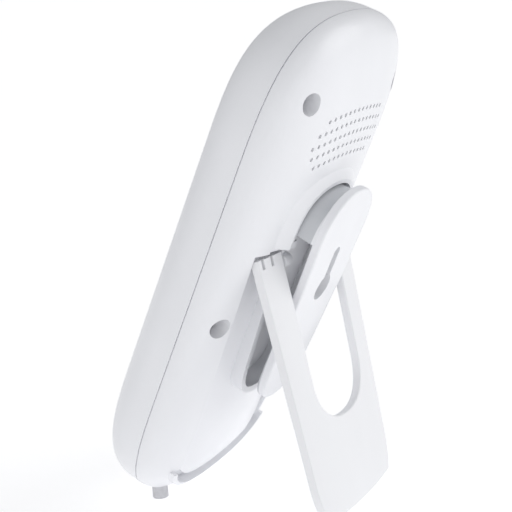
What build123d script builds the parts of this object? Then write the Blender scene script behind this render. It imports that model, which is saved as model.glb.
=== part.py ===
from build123d import *
import math
import os

# Hand-held baby monitor receiver that leans back on a fold-out stand.
#
# Everything is modelled standing straight up, in the unit's own directions: X is the width, Y the depth
# with the front face towards -Y, Z the height from the bottom end. At the end it is leaned back on its
# stand, and the origin goes to the middle of the base of the whole object. All lengths are millimetres.

# ---- driving dimensions ----
LENGTH = 150.0
WIDTH = 73.0
PARTING_Y = 19.3          # the seam between the two shells
FRONT_DEPTH = 18.0        # from the seam to the middle of the front face
REAR_DEPTH = 11.7         # from the seam to the middle of the back
FRONT_POWER = 2.9         # how square the front's rounding is, 2 is an ellipse
REAR_POWER = 2.6
END_FULLNESS = 0.76       # how square the two ends are, 0.55 is a half circle
WALL = 2.2
LEAN = 26.3               # degrees that the unit leans back
FLOOR_DROP = 10.0         # from the bottom end's front corner, straight down to the floor

STAND_OPEN = 35.6         # degrees between the folded and the open stand
STAND_THICK = 2.6
STAND_CROWN = 160.0       # radius that the stand and the back's land are bowed to, across the width
STAND_INNER_Y = 30.7      # the folded stand's inner face, in the middle of the width
LAND_Y = 29.2             # the land that the folded stand lies over, in the middle of the width
HINGE_Y, HINGE_Z = 31.0, 84.0
HINGE_PIN_R = 0.8
ARM_INNER_X, ARM_OUTER_X = 16.0, 26.8

BOSS_HALF = 15.2
BOSS_GAP = 0.8            # between the boss and the folded stand's opening
BOSS_WALL = 2.2
BOSS_HIGH_Z = 91.0
BOSS_RIM_LOW_Y, BOSS_RIM_HIGH_Y = 33.2, 30.2
POCKET_Y = 27.4           # floor of the pocket in the boss
POCKET_HALF = 12.8

SEAT_HALF, SEAT_LOW_Z, SEAT_HIGH_Z = 15.4, 91.0, 104.9
SEAT_RIM_Y = 32.6         # top of the raised pad around the clip's root
CLIP_OUTER_Y = 39.8
CLIP_THICK = 2.6
CLIP_HALF = 14.6
CLIP_LOW_Z, CLIP_HIGH_Z = 38.6, 107.0
CLIP_PIVOT_Y, CLIP_PIVOT_Z = 29.3, 96.5
CLIP_PIN_R = 1.0

UPPER_SCREW = (26.3, 130.6)
LOWER_SCREW = (30.0, 65.3)
SCREW_WELL_R = 3.0
SCREW_TIP_Y = 9.8         # how far forward the case screws reach

GROOVE_END_Z = 14.6       # the groove at the bottom end runs round below this height
GROOVE_DEPTH, GROOVE_RIM_HIGH = 1.5, 1.7

GRILLE_Z = 120.0
GRILLE_ROW_STEP = 3.3
GRILLE_PITCH = 2.68
GRILLE_BOW = 104.0        # radius that the rows are bowed to
GRILLE_HOLE_R = 0.62
GRILLE_COUNTS = (13, 15, 16, 15, 13)
SPEAKER_Z = 122.5
SPEAKER_R = 15.0

BOARD_FRONT_Y = 11.4
BOARD_THICK = 1.6
BOARD_HALF = 26.0
BOARD_LOW_Z, BOARD_HIGH_Z = 14.0, 126.0

WINDOW_HALF_W, WINDOW_LOW_Z, WINDOW_HIGH_Z = 22.0, 86.0, 122.0
KEY_Z = 54.0
KEY_BACK_Y = 6.0
POWER_KEY_Z = 27.0
LIGHT_BAR_Z = 78.5
MIC_Z = 17.0

HALF = WIDTH / 2
LOW_CENTRE_Z = HALF
HIGH_CENTRE_Z = LENGTH - HALF


# ---- helpers ----
def outline(half, y):
    """The unit's outline at depth y, drawn around the two end centres with the given half width."""
    k = END_FULLNESS * half
    top, low = HIGH_CENTRE_Z, LOW_CENTRE_Z

    def corner(sx, sz, centre):
        return [(sx * half, y, centre), (sx * half, y, centre + sz * k),
                (sx * k, y, centre + sz * half), (0, y, centre + sz * half)]

    edges = [
        Line((half, y, low), (half, y, top)),
        Bezier(*corner(1, 1, top)),
        Bezier(*reversed(corner(-1, 1, top))),
        Line((-half, y, top), (-half, y, low)),
        Bezier(*corner(-1, -1, low)),
        Bezier(*reversed(corner(1, -1, low))),
    ]
    return Wire(edges)


def shell_half(side, inset):
    """Half of the unit, from the seam to the back (side 1) or to the front (side -1), with a rounded
    edge. A positive inset makes the cavity, a negative one a shape that stands proud."""
    power = REAR_POWER if side > 0 else FRONT_POWER
    depth = (REAR_DEPTH if side > 0 else FRONT_DEPTH) - inset
    half = HALF - inset
    wires = []
    for degrees in (0, 9, 18, 28, 38, 48, 58, 67, 75, 81, 85):
        angle = math.radians(degrees)
        width = half * math.cos(angle) ** (2 / power)
        reach = depth * math.sin(angle) ** (2 / power)
        wires.append(outline(width, PARTING_Y + side * reach))
    return Part() + Solid.make_loft(wires)


def prism(sketch, y_low, y_high):
    """A sketch drawn in X and Z, made solid between two depths."""
    return extrude(Plane.XZ.offset(-y_low) * sketch, -(y_high - y_low))


def rod(radius, x_low, x_high, y, z):
    """A round bar along X."""
    return Pos((x_low + x_high) / 2, y, z) * Rot(Y=90) * Cylinder(radius, x_high - x_low)


def stud(radius, x, z, y_low, y_high):
    """A round bar along Y."""
    return Pos(x, (y_low + y_high) / 2, z) * Rot(X=90) * Cylinder(radius, y_high - y_low)


def block(x_low, x_high, y_low, y_high, z_low, z_high):
    return Pos((x_low + x_high) / 2, (y_low + y_high) / 2, (z_low + z_high) / 2) * Box(
        x_high - x_low, y_high - y_low, z_high - z_low)


def bowed(y_middle):
    """A long bar along Z whose back is bowed across the width like the stand, y_middle at X = 0."""
    return Pos(0, y_middle - STAND_CROWN, LENGTH / 2) * Cylinder(STAND_CROWN, 3 * LENGTH)


def rounded_bar(half, low, high, low_round, high_round, fullness=0.6):
    """A sketch of a bar along Z with parallel sides and two rounded ends, of the given end heights."""
    def end(z_side, z_tip):
        k = fullness
        z_full = z_side + (z_tip - z_side) * k
        right = Bezier((half, z_side), (half, z_full), (half * k, z_tip), (0, z_tip))
        left = Bezier((0, z_tip), (-half * k, z_tip), (-half, z_full), (-half, z_side))
        return right, left

    z0, z1 = low + low_round, high - high_round
    top_right, top_left = end(z1, high)
    low_right, low_left = end(z0, low)
    edges = [Line((half, z0), (half, z1)), top_right, top_left, Line((-half, z1), (-half, z0)),
             low_left, low_right]
    return make_face(edges)


def both_sides(shape):
    return shape + mirror(shape, about=Plane.YZ)


def solids_of(*shapes):
    """Separate solids that share one node."""
    return Compound([s for shape in shapes for s in shape.solids()])


# ---- the two shells ----
REAR_BODY = shell_half(1, 0)
FRONT_BODY = shell_half(-1, 0)


def grille_holes():
    holes = Part()
    for row, count in enumerate(GRILLE_COUNTS):
        row_z = GRILLE_Z + (2 - row) * GRILLE_ROW_STEP
        for i in range(count):
            x = (i - (count - 1) / 2) * GRILLE_PITCH
            holes += stud(GRILLE_HOLE_R, x, row_z - x * x / (2 * GRILLE_BOW), 22, 36)
    return holes


def screw_places():
    for x, z in (UPPER_SCREW, LOWER_SCREW):
        yield x, z
        yield -x, z


def carried_on(start, end, length):
    """The point that lies a length past the end of a line, in its own direction."""
    run = Vector(end) - Vector(start)
    point = Vector(end) + run.normalized() * length
    return point.X, point.Y


def stand_sketch(gap=0.0):
    """The stand seen from behind when it is folded, grown by a gap."""
    top = HINGE_Z + 2.8 + gap
    foot = HINGE_Z - 76.0 - gap
    shoulder = (ARM_OUTER_X + gap, top)
    heel = (23.4 + gap, foot + 14)
    right = [
        Line((0, top), shoulder),
        Line(shoulder, heel),
        Bezier(heel, carried_on(shoulder, heel, 9), (heel[0] - 4, foot), (heel[0] - 9, foot)),
        Line((heel[0] - 9, foot), (0, foot)),
        Line((0, foot), (0, top)),
    ]
    half = make_face(right)
    return half + mirror(half, about=Plane.YZ)


def stand_opening(shrink=0.0):
    """The U between the stand's arms, open at the top and rounded at its lower end."""
    bottom = HINGE_Z - 47.6 + shrink
    top = (ARM_INNER_X + 0.3 - shrink, HINGE_Z + 10)
    side = (14.6 - shrink, HINGE_Z - 35)
    right = [
        Line((0, top[1]), top),
        Line(top, side),
        Bezier(side, carried_on(top, side, 7.5), (side[0] * 0.68, bottom), (0, bottom)),
        Line((0, bottom), (0, top[1])),
    ]
    half = make_face(right)
    return half + mirror(half, about=Plane.YZ)


def boss_blank():
    """The raised part that the clip closes onto. It passes through the folded stand's opening."""
    side_view = Plane.YZ * make_face(Polyline(
        (24, 30), (BOSS_RIM_LOW_Y, 30), (BOSS_RIM_HIGH_Y, BOSS_HIGH_Z), (24, BOSS_HIGH_Z), close=True))
    wedge = extrude(side_view, BOSS_HALF + 1, both=True)
    return wedge & prism(stand_opening(BOSS_GAP), 20, 40)


def seat_pad():
    """The raised pad around the clip's root, with sloping flanks."""
    foot = rounded_bar(SEAT_HALF + 6.6, 60, SEAT_HIGH_Z + 6.6, 5, 15.5, 0.66)
    rim = rounded_bar(SEAT_HALF + 1.1, 60, SEAT_HIGH_Z + 1.1, 5, 12.9, 0.68)
    pad = loft([Plane.XZ.offset(-29.0) * foot, Plane.XZ.offset(-SEAT_RIM_Y) * rim])
    return pad - block(-40, 40, 20, 50, 50, HINGE_Z + 4.8)


def hinge_ears():
    ear = rod(1.9, POCKET_HALF - 1.2, BOSS_HALF, HINGE_Y, HINGE_Z)
    ear += block(POCKET_HALF - 1.2, BOSS_HALF, 27, HINGE_Y, HINGE_Z - 1.9, HINGE_Z + 1.9)
    return both_sides(ear)


def bottom_arc(half, low):
    """A sketch whose lower edge follows the bottom end of the unit."""
    return rounded_bar(half, low, 40, 12, 5, 0.62)


def below_groove_ends(ring):
    return ring - block(-40, 40, 17, 37, GROOVE_END_Z, 60)


def groove_tool():
    """The curved finger groove at the bottom of the back, cut to an even depth."""
    ring = prism(bottom_arc(25.8, 5.2), 18, 36) - prism(bottom_arc(23.6, 7.4), 17, 37)
    return below_groove_ends(ring) - shell_half(1, GROOVE_DEPTH)


def groove_rim():
    """A thin rim that stands proud along the groove's outer side."""
    ring = prism(bottom_arc(26.8, 4.2), 20, 36) - prism(bottom_arc(25.8, 5.2), 17, 37)
    return below_groove_ends(ring) & shell_half(1, -GROOVE_RIM_HIGH)


def rear_housing():
    body = REAR_BODY
    land = prism(stand_sketch(0.5), 22, 40) - bowed(LAND_Y)
    body -= land
    body += boss_blank()
    body += seat_pad()
    body += groove_rim()
    body -= groove_tool()

    # The cavity keeps a wall under the land, the pocket, the clip's seat and the groove.
    cavity = shell_half(1, WALL)
    cavity -= prism(stand_sketch(2.5), 20, 40) - bowed(LAND_Y - WALL)
    cavity -= block(-18, 18, POCKET_Y - 1.9, 40, 37, 107)
    cavity -= block(-30, 30, 22, 40, 0, 19)
    body -= cavity

    pocket = prism(stand_opening(BOSS_GAP + BOSS_WALL), POCKET_Y, 45)
    pocket -= block(-30, 30, 20, 50, SEAT_LOW_Z + 0.5, 130)
    seat = prism(rounded_bar(SEAT_HALF, SEAT_LOW_Z - 20, SEAT_HIGH_Z, 5, 12.4, 0.68), POCKET_Y - 0.2, 45)
    seat -= block(-30, 30, 20, 50, 40, SEAT_LOW_Z)
    body -= pocket
    body -= seat
    body -= both_sides(block(BOSS_HALF, BOSS_HALF + 6.4, LAND_Y - 2.2, 40, HINGE_Z - 3.6, HINGE_Z + 4))
    body += hinge_ears()
    body -= rod(HINGE_PIN_R, -BOSS_HALF - 1, -BOSS_HALF + 3.2, HINGE_Y, HINGE_Z)
    body -= rod(HINGE_PIN_R, BOSS_HALF - 3.2, BOSS_HALF + 1, HINGE_Y, HINGE_Z)
    body -= rod(CLIP_PIN_R, -SEAT_HALF - 2, SEAT_HALF + 2, CLIP_PIVOT_Y, CLIP_PIVOT_Z)

    for x, z in screw_places():
        well_floor = PARTING_Y + 3.2
        post = stud(SCREW_WELL_R + 2.0, x, z, PARTING_Y + 0.1, 30) & REAR_BODY
        body += post - land
        body -= stud(SCREW_WELL_R, x, z, well_floor, 40)
        body -= stud(1.5, x, z, PARTING_Y - 1, well_floor + 1)
    body -= grille_holes()
    body -= charging_opening()
    for x in (-FOOT_X, FOOT_X):
        body += foot_peg(x, FOOT_TALL + 1.4, FOOT_R + 1.2) & REAR_BODY
        body -= foot_peg(x, FOOT_TALL)
    # A fine step around the seam, which shows as a dark line.
    body -= (prism(make_face(section_sketch(HALF + 1)), PARTING_Y, PARTING_Y + 0.35)
             - prism(make_face(section_sketch(HALF - 0.5)), PARTING_Y - 1, PARTING_Y + 1))
    return body


def section_sketch(half):
    """The outline's edges drawn in the plane X, Z."""
    k = END_FULLNESS * half
    top, low = HIGH_CENTRE_Z, LOW_CENTRE_Z
    return [
        Line((half, low), (half, top)),
        Bezier((half, top), (half, top + k), (k, top + half), (0, top + half)),
        Bezier((0, top + half), (-k, top + half), (-half, top + k), (-half, top)),
        Line((-half, top), (-half, low)),
        Bezier((-half, low), (-half, low - k), (-k, low - half), (0, low - half)),
        Bezier((0, low - half), (k, low - half), (half, low - k), (half, low)),
    ]


def charging_opening():
    return block(-45, -30, 12.6, 16.2, 40.5, 49.5)


def front_housing():
    body = FRONT_BODY - shell_half(-1, WALL)
    # An inner lip that keeps the two shells in line.
    lip = (prism(make_face(section_sketch(HALF - WALL + 0.6)), PARTING_Y - 4, PARTING_Y)
           - prism(make_face(section_sketch(HALF - WALL - 1.2)), PARTING_Y - 5, PARTING_Y + 3))
    tongue = (prism(make_face(section_sketch(HALF - WALL - 0.15)), PARTING_Y - 1, PARTING_Y + 1.6)
              - prism(make_face(section_sketch(HALF - WALL - 1.2)), PARTING_Y - 5, PARTING_Y + 3))
    body += lip
    body += tongue - lip_gaps()
    for x, z in screw_places():
        body += stud(3.4, x, z, 1.0, PARTING_Y) & FRONT_BODY
        body -= stud(1.1, x, z, SCREW_TIP_Y - 0.4, PARTING_Y + 1)
    for x, z in BOARD_SCREWS:
        body += stud(2.6, x, z, 0.5, BOARD_FRONT_Y) & FRONT_BODY
        body -= stud(0.8, x, z, 4, BOARD_FRONT_Y + 1)
    body -= prism(window_sketch(0.15), -6, 5)
    window_ledge = prism(window_sketch(0.15) - window_sketch(-1.6), -6, 5)
    body += window_ledge & (shell_half(-1, 1.3) - shell_half(-1, WALL))
    for key in key_sketches(0.2).values():
        body -= prism(key, -6, 5)
    body -= prism(light_bar_sketch(0.1), -6, 5)
    body -= stud(0.6, 0, MIC_Z, -6, 8)
    body -= charging_opening()
    return body


def lip_gaps():
    """Cuts in the lip where the screw posts and the charging socket pass."""
    gaps = block(-45, -28, 10, PARTING_Y + 3, 38, 52)
    for x, z in screw_places():
        gaps += stud(SCREW_WELL_R + 2.3, x, z, 10, 25)
    for x in (-FOOT_X, FOOT_X):
        gaps += foot_peg(x, FOOT_TALL + 2.5, FOOT_R + 1.8)
    return gaps


# ---- the stand ----
def kickstand():
    plate = prism(stand_sketch() - stand_opening(), 20, 45)
    plate &= bowed(STAND_INNER_Y + STAND_THICK) - bowed(STAND_INNER_Y)
    sides = [e for e in plate.edges() if e.length > 4 and e.center().Z < HINGE_Z + 2]
    plate = fillet(sides, 0.45)
    lug = block(ARM_INNER_X, ARM_INNER_X + 4.2, HINGE_Y - 2.2, HINGE_Y, HINGE_Z - 1.7, HINGE_Z + 1.7)
    plate += both_sides(lug)
    plate -= both_sides(rod(HINGE_PIN_R + 0.05, ARM_INNER_X - 1, ARM_INNER_X + 3.6, HINGE_Y, HINGE_Z))
    for x in (ARM_INNER_X + 4.9, ARM_OUTER_X - 1.9):
        slit = block(x - 0.55, x + 0.55, 24, 40, HINGE_Z + 0.2, HINGE_Z + 4)
        plate -= both_sides(slit)
    return opened(plate)


def opened(shape):
    """Swings a shape from folded to open, about the stand's hinge."""
    return Pos(0, HINGE_Y, HINGE_Z) * Rot(X=STAND_OPEN) * Pos(0, -HINGE_Y, -HINGE_Z) * shape


def stand_pins():
    pin = rod(HINGE_PIN_R, BOSS_HALF - 3.0, ARM_INNER_X + 3.4, HINGE_Y, HINGE_Z)
    return solids_of(pin, mirror(pin, about=Plane.YZ))


# ---- the belt clip ----
def belt_clip():
    bend_z = 78.0
    outer, inner = CLIP_OUTER_Y, CLIP_OUTER_Y - CLIP_THICK
    side_view = Plane.YZ * make_face(Polyline(
        (outer, CLIP_HIGH_Z), (outer, bend_z), (outer - 1.2, CLIP_LOW_Z),
        (inner - 1.2, CLIP_LOW_Z), (inner, bend_z), (inner, CLIP_HIGH_Z), close=True))
    strap = extrude(side_view, CLIP_HALF + 1, both=True)
    strap &= prism(strap_sketch(), 30, 45)
    across = strap.edges().filter_by(Axis.X)
    strap = fillet([e for e in strap.edges() if e.length > 6 and e not in across], 0.6)
    strap -= keyhole()
    root_view = Plane.YZ * make_face(Polyline(
        (inner + 0.5, 92.6), (28.6, 93.2), (27.9, 94.4), (27.9, 98.6), (29.8, 104.6), (inner + 0.5, 104.6),
        close=True))
    root = extrude(root_view, SEAT_HALF, both=True)
    root &= prism(rounded_bar(SEAT_HALF - 0.4, 70, SEAT_HIGH_Z - 0.8, 5, 12.4, 0.68), 20, 45)
    root -= block(-4.2, 4.2, 20, 33.2, 90, 101.5)
    clip = strap + root
    return clip - rod(CLIP_PIN_R + 0.05, -20, 20, CLIP_PIVOT_Y, CLIP_PIVOT_Z)


def strap_sketch():
    """The clip's tongue: a half-round top, gently tapered sides and a rounded tip."""
    k = 0.62
    shoulder = (CLIP_HALF, CLIP_HIGH_Z - 14.0)
    side = (11.9, CLIP_LOW_Z + 11)
    right = [
        Bezier((0, CLIP_HIGH_Z), (CLIP_HALF * k, CLIP_HIGH_Z),
               carried_on(side, shoulder, 14 * k), shoulder),
        Line(shoulder, side),
        Bezier(side, carried_on(shoulder, side, 7), (side[0] * k, CLIP_LOW_Z), (0, CLIP_LOW_Z)),
        Line((0, CLIP_LOW_Z), (0, CLIP_HIGH_Z)),
    ]
    half = make_face(right)
    return half + mirror(half, about=Plane.YZ)


def keyhole():
    """The slot that hangs the unit on a screw head: a round hole that runs up into a narrow slot."""
    sketch = Pos(0, 76.2) * Circle(4.0) + Pos(0, 82.0) * Rectangle(3.6, 11.0) + Pos(0, 87.5) * Circle(1.8)
    return prism(sketch, 30, 45)


def clip_pin():
    return rod(CLIP_PIN_R, -SEAT_HALF - 1.8, SEAT_HALF + 1.8, CLIP_PIVOT_Y, CLIP_PIVOT_Z)


def clip_spring():
    """The torsion spring around the clip's pin, with one leg on the seat and one under the tongue."""
    wire, coil_r, width = 0.25, 1.35, 5.4
    turns = Helix(pitch=0.6, height=width, radius=coil_r)
    coil = sweep(Plane(turns @ 0, z_dir=turns % 0) * Circle(wire), path=turns)
    coil = Pos(-width / 2, CLIP_PIVOT_Y, CLIP_PIVOT_Z) * Rot(Y=90) * coil
    return Part() + coil


# ---- front: display, lights and keys ----
def window_sketch(grow):
    middle = (WINDOW_LOW_Z + WINDOW_HIGH_Z) / 2
    return Pos(0, middle) * RectangleRounded(
        2 * WINDOW_HALF_W + 2 * grow, WINDOW_HIGH_Z - WINDOW_LOW_Z + 2 * grow, 4 + grow)


def display_window():
    return prism(window_sketch(0), -6, 5) & (FRONT_BODY - shell_half(-1, 1.3))


def lcd_frame():
    frame = block(-25.5, 25.5, 5.4, BOARD_FRONT_Y, 83.5, 124.5)
    frame -= block(-23.2, 23.2, 5, 8.6, 85.6, 122.4)
    frame -= block(-21, 21, 8, 12, 88, 120)
    return frame & shell_half(-1, WALL + 0.3)


def lcd_module():
    return block(-23, 23, 5.6, 8.5, 85.8, 122.2) + block(-14, 14, 8.5, 8.9, 88.5, 92)


def light_bar_sketch(grow):
    return Pos(0, LIGHT_BAR_Z) * RectangleRounded(26 + 2 * grow, 2.4 + 2 * grow, 1.1 + grow)


def light_bar():
    bar = prism(light_bar_sketch(0), -6, 5) & FRONT_BODY
    return bar + block(-14, 14, 4.6, 6.0, LIGHT_BAR_Z - 2, LIGHT_BAR_Z + 2)


def level_leds():
    led = [block(x - 1, x + 1, BOARD_FRONT_Y - 0.9, BOARD_FRONT_Y, LIGHT_BAR_Z - 0.8, LIGHT_BAR_Z + 0.8)
           for x in (-10, -5, 0, 5, 10)]
    return solids_of(*led)


def ring_key(angle, grow):
    """One quarter of the ring of keys around the talk button."""
    inner, outer, half_span = 8.6 - grow, 17.0 + grow, 39.0
    centre = math.radians(angle)
    ring = Circle(outer) - Circle(inner)
    reach = 40
    a, b = centre - math.radians(half_span), centre + math.radians(half_span)
    side = grow / math.sin(math.radians(half_span))
    ox, oz = -side * math.cos(centre), -side * math.sin(centre)
    wedge = make_face(Polyline((ox, oz), (ox + reach * math.cos(a), oz + reach * math.sin(a)),
                               (ox + reach * math.cos(b), oz + reach * math.sin(b)), close=True))
    return Pos(0, KEY_Z) * (ring & wedge)


def key_sketches(grow):
    keys = {
        "nav_right_key": ring_key(0, grow), "nav_up_key": ring_key(90, grow),
        "nav_left_key": ring_key(180, grow), "nav_down_key": ring_key(270, grow),
        "talk_button": Pos(0, KEY_Z) * Circle(7.4 + grow),
        "power_button": Pos(0, POWER_KEY_Z) * Circle(4.2 + grow),
    }
    return keys


def key_cap(name):
    """A key that stands a little proud of the front, with a flange behind the opening."""
    cap = prism(key_sketches(0)[name], -6, KEY_BACK_Y) & PROUD_FRONT
    flange = prism(key_sketches(0.55)[name], KEY_BACK_Y - 1.2, KEY_BACK_Y)
    return cap + flange


PROUD_FRONT = shell_half(-1, -0.7)


def key_places():
    yield 0, KEY_Z
    yield 0, POWER_KEY_Z
    for angle in (0, 90, 180, 270):
        yield (12.8 * math.cos(math.radians(angle)), KEY_Z + 12.8 * math.sin(math.radians(angle)))


def keypad_membrane():
    sheet = prism(Pos(0, 48) * RectangleRounded(40, 51, 6), KEY_BACK_Y + 1.0, KEY_BACK_Y + 2.0)
    for x, z in key_places():
        sheet += stud(1.6, x, z, KEY_BACK_Y + 1.5, BOARD_FRONT_Y - 0.8)
    for x, z in ((-16, 26), (16, 26), (-16, 70), (16, 70)):
        sheet += stud(1.2, x, z, KEY_BACK_Y + 1.5, BOARD_FRONT_Y)
    return sheet


def tact_switches():
    return solids_of(*[
        block(x - 2.4, x + 2.4, BOARD_FRONT_Y - 0.7, BOARD_FRONT_Y, z - 2.4, z + 2.4) for x, z in key_places()])


# ---- inside ----
BOARD_SCREWS = [(-22.5, 20), (22.5, 20), (-22.5, 80), (22.5, 80)]
BOARD_BACK_Y = BOARD_FRONT_Y + BOARD_THICK
BATTERY_Y, BATTERY_Z = BOARD_BACK_Y + 6.0, 52.0
CELL_R, CELL_LENGTH = 5.2, 44.0


def main_board():
    middle = (BOARD_LOW_Z + BOARD_HIGH_Z) / 2
    board = prism(Pos(0, middle) * RectangleRounded(2 * BOARD_HALF, BOARD_HIGH_Z - BOARD_LOW_Z, 5),
                  BOARD_FRONT_Y, BOARD_BACK_Y)
    for x, z in BOARD_SCREWS:
        board -= stud(1.15, x, z, 5, 20)
    for x, z in screw_places():
        board -= stud(3.9, x, z, 5, 20)
    return board


def board_screws():
    screws = []
    for x, z in BOARD_SCREWS:
        head = stud(1.9, x, z, BOARD_BACK_Y, BOARD_BACK_Y + 1.3)
        head -= block(x - 1.2, x + 1.2, BOARD_BACK_Y + 0.7, BOARD_BACK_Y + 2, z - 0.2, z + 0.2)
        screws.append(head + stud(0.8, x, z, 5, BOARD_BACK_Y))
    return solids_of(*screws)


def radio_shield():
    return block(-12, 12, BOARD_BACK_Y, BOARD_BACK_Y + 2.4, 80, 98)


def antenna():
    """A bent strip aerial on the board's top edge."""
    strip = block(18, 19, BOARD_BACK_Y, BOARD_BACK_Y + 6, 88, 122)
    return strip + block(18, 24, BOARD_BACK_Y, BOARD_BACK_Y + 1, 116, 122)


def battery_cells():
    cells = [Pos(x, BATTERY_Y, BATTERY_Z) * Cylinder(CELL_R, CELL_LENGTH)
             + Pos(x, BATTERY_Y, BATTERY_Z + CELL_LENGTH / 2) * Cylinder(1.9, 1.2) for x in (-10.5, 0, 10.5)]
    return solids_of(*cells)


def battery_sleeve():
    outer = Pos(0, BATTERY_Y) * RectangleRounded(2 * 10.5 + 2 * CELL_R + 0.8, 2 * CELL_R + 0.8, CELL_R + 0.3)
    inner = Pos(0, BATTERY_Y) * RectangleRounded(2 * 10.5 + 2 * CELL_R + 0.1, 2 * CELL_R + 0.1, CELL_R)
    return Pos(0, 0, BATTERY_Z - CELL_LENGTH / 2) * extrude(outer - inner, CELL_LENGTH)


def battery_plug():
    return block(-22, -16, BOARD_BACK_Y, BOARD_BACK_Y + 4.5, 84, 90)


def charging_socket():
    shell = block(-34.2, -28.4, 12.8, 16.0, 41, 49)
    shell -= block(-35, -29.2, 13.3, 15.5, 41.6, 48.4)
    return shell + block(-34.0, -29.0, 14.2, 14.6, 42.6, 47.4) + block(
        -29.2, -24.5, BOARD_BACK_Y, 15.0, 41.6, 48.4)


def speaker_frame():
    rim_y = 26.0
    frame = stud(SPEAKER_R, 0, SPEAKER_Z, rim_y - 1.0, rim_y)
    cone = Pos(0, rim_y - 3.0, SPEAKER_Z) * Rot(X=-90) * Cone(8.0, SPEAKER_R - 1.5, 4.0)
    frame += cone
    hollow = Pos(0, rim_y - 2.6, SPEAKER_Z) * Rot(X=-90) * Cone(7.4, SPEAKER_R - 1.6, 5.4)
    return frame - hollow - stud(6.0, 0, SPEAKER_Z, 18, 27)


def speaker_magnet():
    return stud(8.0, 0, SPEAKER_Z, 17.0, 21.0)


def speaker_cone():
    cone = Pos(0, 24.6, SPEAKER_Z) * Rot(X=-90) * Cone(7.0, 12.6, 2.4)
    cone -= Pos(0, 25.0, SPEAKER_Z) * Rot(X=-90) * Cone(7.0, 12.6, 2.4)
    dome = stud(7.2, 0, SPEAKER_Z, 23.2, 23.6)
    return cone + dome


def speaker_gasket():
    ring = stud(SPEAKER_R, 0, SPEAKER_Z, 26.0, 34) - stud(SPEAKER_R - 1.8, 0, SPEAKER_Z, 25, 35)
    return ring & shell_half(1, WALL)


def dust_mesh():
    disc = stud(SPEAKER_R - 2.0, 0, SPEAKER_Z, 20, 34)
    return disc & (shell_half(1, WALL) - shell_half(1, WALL + 0.3))


def microphone():
    return stud(3.0, 0, MIC_Z, BOARD_FRONT_Y - 2.4, BOARD_FRONT_Y)


def microphone_boot():
    boot = stud(4.0, 0, MIC_Z, BOARD_FRONT_Y - 5.0, BOARD_FRONT_Y)
    boot -= stud(3.05, 0, MIC_Z, BOARD_FRONT_Y - 2.45, 20)
    return boot - stud(0.8, 0, MIC_Z, 2, 12)


# ---- fasteners and feet ----
def case_screws():
    screws = []
    for x, z in screw_places():
        floor = PARTING_Y + 3.2
        head = stud(2.4, x, z, floor, floor + 1.9)
        for a in (0, 90):
            head -= Pos(x, floor + 1.9, z) * Rot(Y=a) * Box(2.6, 2.0, 0.6)
        screws.append(head + stud(1.1, x, z, SCREW_TIP_Y, floor))
    return solids_of(*screws)


FOOT_X, FOOT_FLOOR_Y, FOOT_R = 20.0, 22.3, 2.3
FOOT_TALL = 5.6


def to_floor(shape):
    """Leans the unit back and drops it onto the floor plane Z = 0."""
    return Pos(0, 0, FLOOR_DROP) * Rot(X=-LEAN) * shape


def from_floor(shape):
    return Rot(X=LEAN) * Pos(0, 0, -FLOOR_DROP) * shape


def foot_peg(x, tall, radius=FOOT_R):
    """A round peg that stands straight up on the floor, under the bottom end."""
    peg = Cylinder(radius, tall, align=(Align.CENTER, Align.CENTER, Align.MIN))
    return from_floor(Pos(x, FOOT_FLOOR_Y, 0) * peg)


def rubber_feet():
    return solids_of(*[foot_peg(x, FOOT_TALL) for x in (-FOOT_X, FOOT_X)])


# ---- put together ----
def main():
    nodes = {
        "front_housing": front_housing(), "rear_housing": rear_housing(),
        "kickstand": kickstand(), "stand_pins": stand_pins(),
        "belt_clip": belt_clip(), "clip_pin": clip_pin(), "clip_spring": clip_spring(),
        "display_window": display_window(), "lcd_frame": lcd_frame(), "lcd_module": lcd_module(),
        "light_bar": light_bar(), "level_leds": level_leds(),
        "keypad_membrane": keypad_membrane(), "tact_switches": tact_switches(),
        "main_board": main_board(), "board_screws": board_screws(), "radio_shield": radio_shield(),
        "antenna": antenna(), "battery_cells": battery_cells(), "battery_sleeve": battery_sleeve(),
        "battery_plug": battery_plug(), "charging_socket": charging_socket(),
        "speaker_frame": speaker_frame(), "speaker_magnet": speaker_magnet(),
        "speaker_cone": speaker_cone(), "speaker_gasket": speaker_gasket(), "dust_mesh": dust_mesh(),
        "microphone": microphone(), "microphone_boot": microphone_boot(),
        "case_screws": case_screws(), "rubber_feet": rubber_feet(),
    }
    for name in key_sketches(0):
        nodes[name] = key_cap(name)

    leaned = {name: to_floor(shape) for name, shape in nodes.items()}
    leaned["kickstand"] -= Pos(0, 0, -50) * Box(400, 400, 100)
    box = Compound([shape for shape in leaned.values()]).bounding_box()
    home = Pos(-box.center().X, -box.center().Y, -box.min.Z)
    os.makedirs("parts", exist_ok=True)
    for name, shape in leaned.items():
        export_step(home * shape, f"parts/{name}.step")
    print("base offset", [round(v, 3) for v in (box.center().X, box.center().Y, box.min.Z)])
    print("size", [round(v, 2) for v in box.size])


main()
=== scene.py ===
"""Looks for the leaning hand-held receiver: materials, raised key marks, floor, lights and camera."""

import math

import bmesh
import bpy
from mathutils import Matrix, Vector


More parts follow.
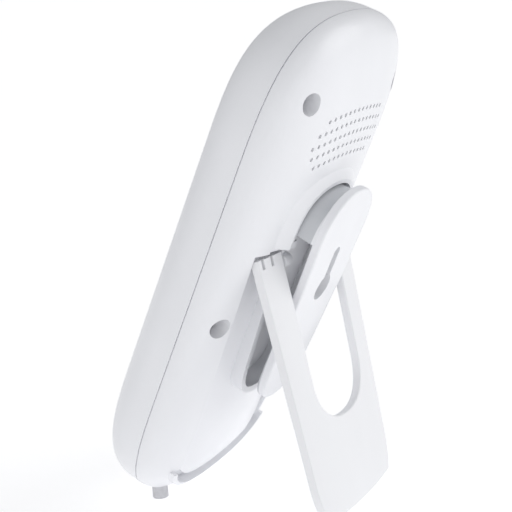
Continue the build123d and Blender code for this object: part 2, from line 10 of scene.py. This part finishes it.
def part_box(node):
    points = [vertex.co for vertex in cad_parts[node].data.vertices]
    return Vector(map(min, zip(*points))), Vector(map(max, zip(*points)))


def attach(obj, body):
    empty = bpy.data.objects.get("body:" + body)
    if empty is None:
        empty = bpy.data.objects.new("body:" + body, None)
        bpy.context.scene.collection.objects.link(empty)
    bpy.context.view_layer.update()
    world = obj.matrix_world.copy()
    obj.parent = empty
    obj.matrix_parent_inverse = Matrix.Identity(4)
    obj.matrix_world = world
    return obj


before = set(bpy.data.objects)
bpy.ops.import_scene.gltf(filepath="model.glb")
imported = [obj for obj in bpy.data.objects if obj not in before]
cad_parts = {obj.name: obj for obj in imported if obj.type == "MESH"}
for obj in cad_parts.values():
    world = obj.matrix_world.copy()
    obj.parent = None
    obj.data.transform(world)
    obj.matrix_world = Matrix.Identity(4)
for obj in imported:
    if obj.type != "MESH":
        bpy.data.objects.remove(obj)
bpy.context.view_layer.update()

MM = 0.001
LEAN = math.radians(26.3)    # how far the unit leans back


# ---- material building blocks ----
def new_material(name):
    """An empty node material, with its principled shader."""
    material = bpy.data.materials.new(name)
    material.use_nodes = True
    tree = material.node_tree
    tree.nodes.clear()
    output = tree.nodes.new("ShaderNodeOutputMaterial")
    shader = tree.nodes.new("ShaderNodeBsdfPrincipled")
    tree.links.new(shader.outputs["BSDF"], output.inputs["Surface"])
    return material, tree, shader


def noise(tree, size, detail=2.0, stretch=(1, 1, 1)):
    """Noise in object space whose features are about size metres."""
    place = tree.nodes.new("ShaderNodeTexCoord")
    scale = tree.nodes.new("ShaderNodeMapping")
    scale.inputs["Scale"].default_value = stretch
    texture = tree.nodes.new("ShaderNodeTexNoise")
    texture.inputs["Scale"].default_value = 1 / size
    texture.inputs["Detail"].default_value = detail
    tree.links.new(place.outputs["Object"], scale.inputs["Vector"])
    tree.links.new(scale.outputs["Vector"], texture.inputs["Vector"])
    return texture.outputs["Fac"]


NOISE_LOW, NOISE_HIGH = 0.3, 0.7    # most noise values lie between these


def spread(tree, value, low, high):
    """Maps a noise value to a range of numbers."""
    node = tree.nodes.new("ShaderNodeMapRange")
    node.inputs["From Min"].default_value = NOISE_LOW
    node.inputs["From Max"].default_value = NOISE_HIGH
    node.inputs["To Min"].default_value = low
    node.inputs["To Max"].default_value = high
    tree.links.new(value, node.inputs["Value"])
    return node.outputs["Result"]


def two_tone(tree, value, first, second, start=0.35, stop=0.65):
    """A colour between two, by a value."""
    ramp = tree.nodes.new("ShaderNodeValToRGB")
    ramp.color_ramp.elements[0].position = start
    ramp.color_ramp.elements[1].position = stop
    ramp.color_ramp.elements[0].color = (*first, 1)
    ramp.color_ramp.elements[1].color = (*second, 1)
    tree.links.new(value, ramp.inputs["Fac"])
    return ramp.outputs["Color"]


def bump(tree, shader, value, depth, strength=1.0, under=None):
    """Raises the surface by depth metres where the value is 1. under is a bump that it lies on."""
    node = tree.nodes.new("ShaderNodeBump")
    node.inputs["Distance"].default_value = depth
    node.inputs["Strength"].default_value = strength
    tree.links.new(value, node.inputs["Height"])
    if under:
        tree.links.new(under.outputs["Normal"], node.inputs["Normal"])
    tree.links.new(node.outputs["Normal"], shader.inputs["Normal"])
    return node


def shade(colour, factor):
    """The colour made darker or lighter by a factor."""
    return tuple(min(1.0, c * factor) for c in colour)


# ---- plastics, rubbers, foams ----
FLOW_SIZE, FLOW_TONE = 38 * MM, 0.02        # slow marks from the flow of the melt, and how far they tint it
GLOSS_SIZE = 11 * MM                        # patches where the gloss differs
WAVE_SIZE, WAVE_DEPTH = 7 * MM, 0.012 * MM  # shallow unevenness of a moulded wall
PLASTIC_IOR = 1.49
COAT_ROUGH = 0.16


def moulded(name, colour, rough, grain=0.35 * MM, depth=0.006 * MM, coat=0.0, see_through=0.0):
    """Moulded plastic: flow marks in the colour, uneven gloss, shallow waves and a fine grain."""
    material, tree, shader = new_material(name)
    flow = noise(tree, FLOW_SIZE, detail=3.0, stretch=(1, 1, 0.35))
    tone = two_tone(tree, flow, shade(colour, 1 - FLOW_TONE), shade(colour, 1 + FLOW_TONE))
    tree.links.new(tone, shader.inputs["Base Color"])
    gloss = noise(tree, GLOSS_SIZE, detail=4.0)
    tree.links.new(spread(tree, gloss, rough * 0.86, rough * 1.16), shader.inputs["Roughness"])
    waves = bump(tree, shader, noise(tree, WAVE_SIZE, detail=1.0), WAVE_DEPTH, strength=0.5)
    bump(tree, shader, noise(tree, grain, detail=3.0), depth, strength=0.8, under=waves)
    shader.inputs["IOR"].default_value = PLASTIC_IOR
    shader.inputs["Coat Weight"].default_value = coat
    shader.inputs["Coat Roughness"].default_value = COAT_ROUGH
    shader.inputs["Transmission Weight"].default_value = see_through
    return material


RUBBER_MOTTLE, RUBBER_DEPTH = 3 * MM, 0.02 * MM


def rubbery(name, colour, rough=0.75, grain=0.5 * MM):
    """Rubber or silicone: matt and slightly mottled, with a soft bloom."""
    material, tree, shader = new_material(name)
    mottle = noise(tree, RUBBER_MOTTLE, detail=6.0)
    tone = two_tone(tree, mottle, shade(colour, 0.9), shade(colour, 1.08))
    tree.links.new(tone, shader.inputs["Base Color"])
    tree.links.new(spread(tree, mottle, rough - 0.08, rough + 0.1), shader.inputs["Roughness"])
    bump(tree, shader, noise(tree, grain, detail=4.0), RUBBER_DEPTH)
    shader.inputs["Sheen Weight"].default_value = 0.15
    return material


FOAM_CELL, FOAM_DEPTH = 0.6 * MM, 0.08 * MM


def foamed(name, colour):
    """Closed-cell foam, with its skin of small cells."""
    material, tree, shader = new_material(name)
    place = tree.nodes.new("ShaderNodeTexCoord")
    cells = tree.nodes.new("ShaderNodeTexVoronoi")
    cells.inputs["Scale"].default_value = 1 / FOAM_CELL
    tree.links.new(place.outputs["Object"], cells.inputs["Vector"])
    cell = cells.outputs["Distance"]
    tone = two_tone(tree, cell, shade(colour, 1.4), shade(colour, 0.6), start=0.1, stop=0.8)
    tree.links.new(tone, shader.inputs["Base Color"])
    tree.links.new(spread(tree, noise(tree, 2 * MM), 0.85, 0.98), shader.inputs["Roughness"])
    bump(tree, shader, cell, FOAM_DEPTH)
    return material


# ---- metals ----
LINE_SIZE, LINE_DEPTH = 0.15 * MM, 0.006 * MM
STAIN_SIZE = 4 * MM


def drawn_metal(name, colour, rough):
    """Metal with fine lines along X from drawing or brushing, and faint stains."""
    material, tree, shader = new_material(name)
    lines = noise(tree, LINE_SIZE, detail=3.0, stretch=(0.06, 1, 1))
    stains = noise(tree, STAIN_SIZE, detail=3.0)
    tone = two_tone(tree, stains, shade(colour, 0.86), shade(colour, 1.08))
    tree.links.new(tone, shader.inputs["Base Color"])
    tree.links.new(spread(tree, lines, rough * 0.75, rough * 1.3), shader.inputs["Roughness"])
    bump(tree, shader, lines, LINE_DEPTH)
    shader.inputs["Metallic"].default_value = 1.0
    return material


# ---- special surfaces ----
def on_front(tree, pattern):
    """Lays a flat pattern on faces that look along Y."""
    place = tree.nodes.new("ShaderNodeTexCoord")
    upright = tree.nodes.new("ShaderNodeMapping")
    upright.inputs["Rotation"].default_value = (math.radians(90), 0, 0)
    tree.links.new(place.outputs["Object"], upright.inputs["Vector"])
    tree.links.new(upright.outputs["Vector"], pattern.inputs["Vector"])


TRACK_PITCH = 9 * MM


def circuit_board(name):
    """Green solder mask over a pattern of copper tracks and over the weave of the board."""
    material, tree, shader = new_material(name)
    tracks = tree.nodes.new("ShaderNodeTexBrick")
    tracks.offset = 0.37
    tracks.inputs["Scale"].default_value = 1 / TRACK_PITCH
    tracks.inputs["Mortar Size"].default_value = 0.035
    tracks.inputs["Color1"].default_value = (0.012, 0.13, 0.055, 1)
    tracks.inputs["Color2"].default_value = (0.016, 0.155, 0.07, 1)
    tracks.inputs["Mortar"].default_value = (0.06, 0.3, 0.12, 1)
    on_front(tree, tracks)
    tree.links.new(tracks.outputs["Color"], shader.inputs["Base Color"])
    tree.links.new(spread(tree, noise(tree, 5 * MM), 0.28, 0.42), shader.inputs["Roughness"])
    weave = bump(tree, shader, noise(tree, 0.4 * MM, detail=1.0, stretch=(1, 0.2, 1)), 0.01 * MM)
    bump(tree, shader, tracks.outputs["Fac"], 0.03 * MM, under=weave)
    return material


THREAD_PITCH, THREAD_DEPTH = 0.45 * MM, 0.1 * MM
BAND_SPACING = 0.314    # metres between the bands of a wave texture whose scale is 1


def woven(name, colour):
    """A fine square mesh of thread, by two crossed waves."""
    material, tree, shader = new_material(name)
    place = tree.nodes.new("ShaderNodeTexCoord")
    heights = []
    for direction in ("X", "Z"):
        wave = tree.nodes.new("ShaderNodeTexWave")
        wave.bands_direction = direction
        wave.inputs["Scale"].default_value = BAND_SPACING / THREAD_PITCH
        tree.links.new(place.outputs["Object"], wave.inputs["Vector"])
        heights.append(wave.outputs["Fac"])
    crossed = tree.nodes.new("ShaderNodeMath")
    crossed.operation = "MAXIMUM"
    for number, height in enumerate(heights):
        tree.links.new(height, crossed.inputs[number])
    thread = crossed.outputs["Value"]
    tone = two_tone(tree, thread, shade(colour, 0.2), shade(colour, 1.3), start=0.4, stop=0.95)
    tree.links.new(tone, shader.inputs["Base Color"])
    tree.links.new(spread(tree, noise(tree, 1 * MM), 0.7, 0.9), shader.inputs["Roughness"])
    bump(tree, shader, thread, THREAD_DEPTH)
    shader.inputs["Sheen Weight"].default_value = 0.2
    return material


DOT_PITCH = 0.9 * MM


def display_face(name):
    """A dark grey liquid crystal cell with its fine rows and columns of dots."""
    material, tree, shader = new_material(name)
    dots = tree.nodes.new("ShaderNodeTexBrick")
    dots.offset = 0.0
    dots.inputs["Scale"].default_value = 1 / DOT_PITCH
    dots.inputs["Brick Width"].default_value = 0.5
    dots.inputs["Row Height"].default_value = 0.5
    dots.inputs["Mortar Size"].default_value = 0.03
    dots.inputs["Color1"].default_value = (0.035, 0.045, 0.05, 1)
    dots.inputs["Color2"].default_value = (0.04, 0.052, 0.056, 1)
    dots.inputs["Mortar"].default_value = (0.02, 0.025, 0.03, 1)
    on_front(tree, dots)
    tree.links.new(dots.outputs["Color"], shader.inputs["Base Color"])
    tree.links.new(spread(tree, noise(tree, 9 * MM), 0.06, 0.12), shader.inputs["Roughness"])
    shader.inputs["Coat Weight"].default_value = 0.6
    return material


WHITE = (0.875, 0.88, 0.905)
SHELL_ROUGH, SHELL_COAT = 0.36, 0.12
# painted shade: a cool grey that stands in for the tongue's shadow on the clip's root block
CLIP_ROOT_PAINTED_SHADE = (0.6, 0.615, 0.64)
CLIP_INNER_FACE = -10.58 * MM     # the tongue's inner face, measured square to the unit's back
CLIP_SHADE_EDGE = 0.15 * MM        # how far in the white takes to turn to the painted shade grey


def clip_plastic_with_painted_shade(name):
    """The clip's white plastic, with the tongue's shadow painted as a cool grey on the block that its
    tongue grows from.
    """
    material = moulded(name, WHITE, SHELL_ROUGH, coat=SHELL_COAT)
    tree = material.node_tree
    shader = next(n for n in tree.nodes if n.type == "BSDF_PRINCIPLED")
    white = shader.inputs["Base Color"].links[0].from_socket
    place = tree.nodes.new("ShaderNodeTexCoord")
    upright = tree.nodes.new("ShaderNodeMapping")
    upright.inputs["Rotation"].default_value = (LEAN, 0, 0)
    depth = tree.nodes.new("ShaderNodeSeparateXYZ")
    tree.links.new(place.outputs["Object"], upright.inputs["Vector"])
    tree.links.new(upright.outputs["Vector"], depth.inputs["Vector"])
    edge = tree.nodes.new("ShaderNodeMapRange")
    edge.inputs["From Min"].default_value = CLIP_INNER_FACE - CLIP_SHADE_EDGE
    edge.inputs["From Max"].default_value = CLIP_INNER_FACE
    tree.links.new(depth.outputs["Y"], edge.inputs["Value"])
    # mixes the painted shade grey onto the block behind the tongue's inner face, and white everywhere else
    mix = tree.nodes.new("ShaderNodeMix")
    mix.data_type = "RGBA"
    mix.inputs["A"].default_value = (*CLIP_ROOT_PAINTED_SHADE, 1)
    tree.links.new(edge.outputs["Result"], mix.inputs["Factor"])
    tree.links.new(white, mix.inputs["B"])
    tree.links.new(mix.outputs["Result"], shader.inputs["Base Color"])
    return material


MATERIALS = {
    "white_shell": moulded("white_shell", WHITE, SHELL_ROUGH, coat=SHELL_COAT),
    # the clip's white, with painted shade on its root block under the tongue
    "white_clip_painted_shade": clip_plastic_with_painted_shade("white_clip_painted_shade"),
    "white_stand": moulded("white_stand", (0.89, 0.893, 0.91), 0.42, grain=0.3 * MM),
    "mark_ink": moulded("mark_ink", (0.2, 0.21, 0.235), 0.5, depth=0.01 * MM),
    "key_plastic": moulded("key_plastic", (0.72, 0.73, 0.76), 0.45, depth=0.01 * MM),
    "window_plastic": moulded("window_plastic", (0.012, 0.013, 0.016), 0.07, depth=0.001 * MM, coat=0.8),
    "light_plastic": moulded("light_plastic", (0.8, 0.86, 0.82), 0.3, see_through=0.35),
    "led_plastic": moulded("led_plastic", (0.82, 0.86, 0.72), 0.25, see_through=0.3),
    "inner_plastic": moulded("inner_plastic", (0.03, 0.03, 0.033), 0.5, depth=0.012 * MM),
    "sleeve_film": moulded("sleeve_film", (0.03, 0.09, 0.24), 0.28, 1.2 * MM, 0.02 * MM, coat=0.4),
    "cone_paper": rubbery("cone_paper", (0.03, 0.03, 0.032), rough=0.85, grain=0.25 * MM),
    "rubber_foot": rubbery("rubber_foot", (0.62, 0.62, 0.645)),
    "silicone": rubbery("silicone", (0.42, 0.44, 0.46), rough=0.55),
    "foam": foamed("foam", (0.035, 0.035, 0.037)),
    "mesh_cloth": woven("mesh_cloth", (0.04, 0.04, 0.044)),
    "board_green": circuit_board("board_green"),
    "lcd_glass": display_face("lcd_glass"),
    "shield_tin": drawn_metal("shield_tin", (0.72, 0.72, 0.7), 0.32),
    "screw_steel": drawn_metal("screw_steel", (0.36, 0.36, 0.38), 0.38),
    "pin_steel": drawn_metal("pin_steel", (0.66, 0.66, 0.68), 0.24),
    "spring_steel": drawn_metal("spring_steel", (0.5, 0.5, 0.51), 0.3),
    "magnet_steel": drawn_metal("magnet_steel", (0.4, 0.4, 0.42), 0.34),
}


def dress_nodes():
    """Gives every CAD node the finish of its own material slot. The clip has its own white, with painted
    shade on the block under its tongue.
    """
    for node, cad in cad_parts.items():
        for index, old in enumerate(cad.data.materials):
            # the clip takes the white that has painted shade on its root block
            finish = "white_clip_painted_shade" if node == "belt_clip" else old.name.split(".")[0]
            cad.data.materials[index] = MATERIALS[finish]


dress_nodes()


# ---- raised marks on the keys ----
FRONT = Vector((0, -math.cos(LEAN), math.sin(LEAN)))     # the way that the front face looks
FACE_UP = Vector((0, math.sin(LEAN), math.cos(LEAN)))    # up along the front face
MARK_HEIGHT = 0.22 * MM     # how far a mark stands proud of its key
MARK_ROOT = 0.15 * MM       # how far it goes into the key
MARK_ROUND = 0.07 * MM      # the rounding of its edges
RAY_REACH = 30 * MM         # how far in front of a key the search for its surface starts


def on_key(node, across, up):
    """The point of a key's front surface at a place measured from the middle of its box."""
    low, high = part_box(node)
    start = (low + high) / 2 + Vector((across, 0, 0)) + FACE_UP * up + FRONT * RAY_REACH
    hit, point, _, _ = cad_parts[node].ray_cast(start, -FRONT)
    if not hit:
        raise RuntimeError(f"the mark on {node} misses its key")
    return point


def raised_mark(name, node, body, outlines):
    """Closed outlines moulded proud of a key, each a list of (across, up) in millimetres."""
    form = bmesh.new()
    for outline in outlines:
        feet = [on_key(node, across * MM, up * MM) for across, up in outline]
        low = [form.verts.new(p - FRONT * MARK_ROOT) for p in feet]
        high = [form.verts.new(p + FRONT * MARK_HEIGHT) for p in feet]
        form.faces.new(high)
        form.faces.new(list(reversed(low)))
        for k in range(len(feet)):
            after = (k + 1) % len(feet)
            form.faces.new((low[k], low[after], high[after], high[k]))
    bmesh.ops.recalc_face_normals(form, faces=form.faces)
    mesh = bpy.data.meshes.new(name)
    form.to_mesh(mesh)
    form.free()
    mesh.materials.append(MATERIALS["mark_ink"])
    mark = bpy.data.objects.new(name, mesh)
    bpy.context.scene.collection.objects.link(mark)
    rounding = mark.modifiers.new("rounding", "BEVEL")
    rounding.width = MARK_ROUND
    rounding.segments = 2
    rounding.limit_method = "ANGLE"
    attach(mark, body)


def turned(points, degrees):
    """Outline points turned about the middle."""
    angle = math.radians(degrees)
    return [(x * math.cos(angle) - y * math.sin(angle), x * math.sin(angle) + y * math.cos(angle))
            for x, y in points]


def moved(points, across):
    """Outline points moved sideways."""
    return [(x + across, y) for x, y in points]


def arc_band(radius, width, start, stop, steps=20):
    """A band that follows an arc, from one angle to another in degrees."""
    angles = [math.radians(start + (stop - start) * k / steps) for k in range(steps + 1)]
    outer = [((radius + width / 2) * math.cos(a), (radius + width / 2) * math.sin(a)) for a in angles]
    inner = [((radius - width / 2) * math.cos(a), (radius - width / 2) * math.sin(a)) for a in angles]
    return outer + inner[::-1]


# Outlines of the marks, in millimetres across and up from the middle of the key.
CHEVRON = [(-1.5, -0.75), (-1.1, -1.1), (0, -0.05), (1.1, -1.1), (1.5, -0.75), (0, 0.75)]
POWER_RING, POWER_STROKE, POWER_GAP = 1.35, 0.4, 35      # radius, line width, half the gap in degrees
POWER_BAR_LOW, POWER_BAR_HIGH = 0.5, 1.75
TALK_WAVES, TALK_STROKE = (1.6, 2.9, 4.2), 0.5           # radii, line width
TALK_SPREAD = 42         # half of each wave's arc, in degrees
TALK_SHIFT = -2.4


def make_key_marks():
    """A chevron on each key of the ring, a power sign, and sound waves on the talk key."""
    for way, degrees in (("up", 0), ("left", 90), ("down", 180), ("right", 270)):
        body = f"nav_{way}_key_body"
        raised_mark(f"nav_{way}_mark", f"nav_{way}_key", body, [turned(CHEVRON, degrees)])
    half = POWER_STROKE / 2
    bar = [(-half, POWER_BAR_LOW), (half, POWER_BAR_LOW), (half, POWER_BAR_HIGH), (-half, POWER_BAR_HIGH)]
    ring = arc_band(POWER_RING, POWER_STROKE, 90 + POWER_GAP, 450 - POWER_GAP)
    raised_mark("power_mark", "power_button", "power_key_body", [ring, bar])
    waves = [arc_band(radius, TALK_STROKE, -TALK_SPREAD, TALK_SPREAD, steps=10) for radius in TALK_WAVES]
    raised_mark("talk_mark", "talk_button", "talk_key_body", [moved(wave, TALK_SHIFT) for wave in waves])


make_key_marks()


# ---- surroundings ----
FLOOR_REACH = 12.0    # from the middle of the floor to its edge
FLOOR_GLOW = 0.43
WORLD_GLOW = 0.5


def make_floor():
    """A wide pale floor that glows a little, so that it stays as pale as the backdrop."""
    mesh = bpy.data.meshes.new("floor")
    form = bmesh.new()
    bmesh.ops.create_grid(form, x_segments=8, y_segments=8, size=FLOOR_REACH)
    form.to_mesh(mesh)
    form.free()
    floor = bpy.data.objects.new("floor", mesh)
    bpy.context.scene.collection.objects.link(floor)
    material, tree, shader = new_material("studio_floor")
    tone = two_tone(tree, noise(tree, 0.6), (0.93, 0.93, 0.935), (0.945, 0.945, 0.95))
    tree.links.new(tone, shader.inputs["Base Color"])
    shader.inputs["Roughness"].default_value = 0.9
    shader.inputs["Emission Color"].default_value = (1, 1, 1, 1)
    shader.inputs["Emission Strength"].default_value = FLOOR_GLOW
    mesh.materials.append(material)


def make_world():
    """White to the eye, and a softer grey as a light, so that the white shell keeps its shading."""
    world = bpy.data.worlds.new("studio")
    world.use_nodes = True
    tree = world.node_tree
    tree.nodes.clear()
    output = tree.nodes.new("ShaderNodeOutputWorld")
    seen = tree.nodes.new("ShaderNodeBackground")
    seen.inputs["Color"].default_value = (1, 1, 1, 1)
    glow = tree.nodes.new("ShaderNodeBackground")
    glow.inputs["Color"].default_value = (0.97, 0.98, 1.0, 1)
    glow.inputs["Strength"].default_value = WORLD_GLOW
    rays = tree.nodes.new("ShaderNodeLightPath")
    mix = tree.nodes.new("ShaderNodeMixShader")
    tree.links.new(rays.outputs["Is Camera Ray"], mix.inputs["Fac"])
    tree.links.new(glow.outputs["Background"], mix.inputs[1])
    tree.links.new(seen.outputs["Background"], mix.inputs[2])
    tree.links.new(mix.outputs["Shader"], output.inputs["Surface"])
    bpy.context.scene.world = world


def aim(thing, place, target):
    """Puts a lamp at a place and turns it to a target."""
    thing.location = place
    thing.rotation_euler = (Vector(target) - Vector(place)).to_track_quat("-Z", "Y").to_euler()


def make_sun(name, direction, strength, angle):
    """A broad, even light that comes from a direction."""
    light = bpy.data.lights.new(name, "SUN")
    light.energy = strength
    light.angle = math.radians(angle)
    lamp = bpy.data.objects.new(name, light)
    bpy.context.scene.collection.objects.link(lamp)
    aim(lamp, Vector(direction), (0, 0, 0))


def make_panel(name, place, target, side, power):
    """A square soft box."""
    light = bpy.data.lights.new(name, "AREA")
    light.shape = "SQUARE"
    light.size = side
    light.energy = power
    lamp = bpy.data.objects.new(name, light)
    bpy.context.scene.collection.objects.link(lamp)
    aim(lamp, place, target)


# The camera stands behind the unit on its +X side, a little above it and slightly rolled.
CAMERA_AZIMUTH = 119.28      # degrees round from the front, towards +X
CAMERA_ELEVATION = 13.27
CAMERA_ROLL = -4.44
CAMERA_DISTANCE = 355.0 * MM
CAMERA_TARGET = Vector((0, 1.0, 68.7)) * MM
CAMERA_LENS = 88.0


def make_camera():
    azimuth = math.radians(CAMERA_AZIMUTH)
    elevation = math.radians(CAMERA_ELEVATION)
    roll = math.radians(CAMERA_ROLL)
    back = Vector((math.sin(azimuth) * math.cos(elevation), -math.cos(azimuth) * math.cos(elevation),
                   math.sin(elevation)))
    right = Vector((math.cos(azimuth), math.sin(azimuth), 0))
    up = back.cross(right)
    rolled_right = right * math.cos(roll) + up * math.sin(roll)
    rolled_up = up * math.cos(roll) - right * math.sin(roll)
    data = bpy.data.cameras.new("camera")
    data.sensor_width = 36
    data.lens = CAMERA_LENS
    data.clip_start = 0.01
    camera = bpy.data.objects.new("camera", data)
    bpy.context.scene.collection.objects.link(camera)
    turn = Matrix((rolled_right, rolled_up, back)).transposed().to_4x4()
    camera.matrix_world = Matrix.Translation(CAMERA_TARGET + back * CAMERA_DISTANCE) @ turn
    bpy.context.scene.camera = camera


make_floor()
make_world()
make_sun("key_sun", direction=(-0.62, 0.72, 0.3), strength=0.8, angle=45)
make_sun("fill_sun", direction=(0.85, 0.1, 0.55), strength=0.3, angle=80)
make_panel("soft_box", place=(0.45, 0.6, 0.6), target=(0, 0, 0.08), side=0.4, power=0.1)
make_camera()
bpy.context.scene.view_settings.view_transform = "Standard"
